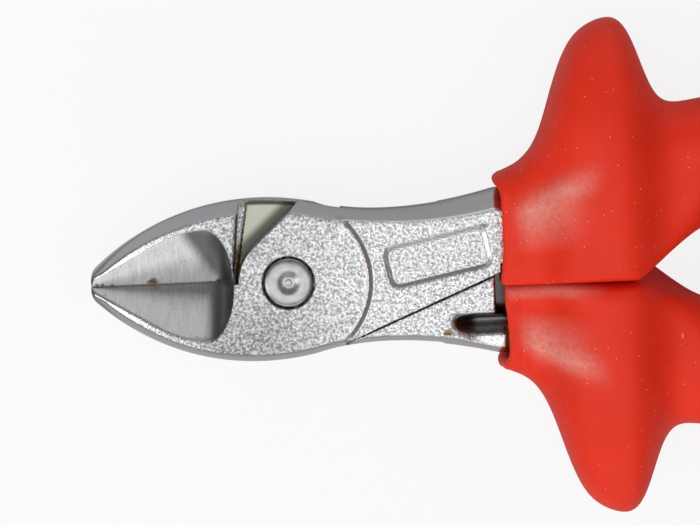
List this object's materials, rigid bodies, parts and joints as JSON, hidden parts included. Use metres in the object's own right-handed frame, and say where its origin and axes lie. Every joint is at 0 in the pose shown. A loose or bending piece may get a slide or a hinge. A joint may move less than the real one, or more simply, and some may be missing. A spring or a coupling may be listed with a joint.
{
  "type": "insulated side cutters",
  "caption": "Insulated side cutters with crossed forged steel levers, a flush riveted lap joint, ground cutting edges and moulded red grips with hand guards.",
  "frame": {"origin": "on the pivot axis, at the flush back end of the rivet, which is the back face of the joint", "axes": "+X from the pivot along the handles, -X to the tip; +Z along the pivot axis from the back of the joint to the front that shows the rivet's dish; +Y across the tool, towards the upper handle"},
  "size_m": [0.16, 0.0616, 0.0242],
  "materials": {
    "forged_steel": "matte chromed forging with a fine pebbled skin, ground blades and polished flanks",
    "rivet_steel": "turned and polished",
    "liner_plastic": "plain moulded",
    "grip_plastic": "moulded, fine satin"
  },
  "bodies": {
    "front_half": {"front_lever": "forged_steel", "pivot_rivet": "rivet_steel", "upper_liner": "liner_plastic", "upper_grip": "grip_plastic"},
    "rear_half": {"rear_lever": "forged_steel", "lower_liner": "liner_plastic", "lower_grip": "grip_plastic"}
  },
  "joints": [
    {"name": "pivot", "type": "hinge", "parent": "front_half", "child": "rear_half", "pos_m": [0, 0, 0.005], "axis": [0, 0, -1], "range_deg": [0, 36]}
  ]
}
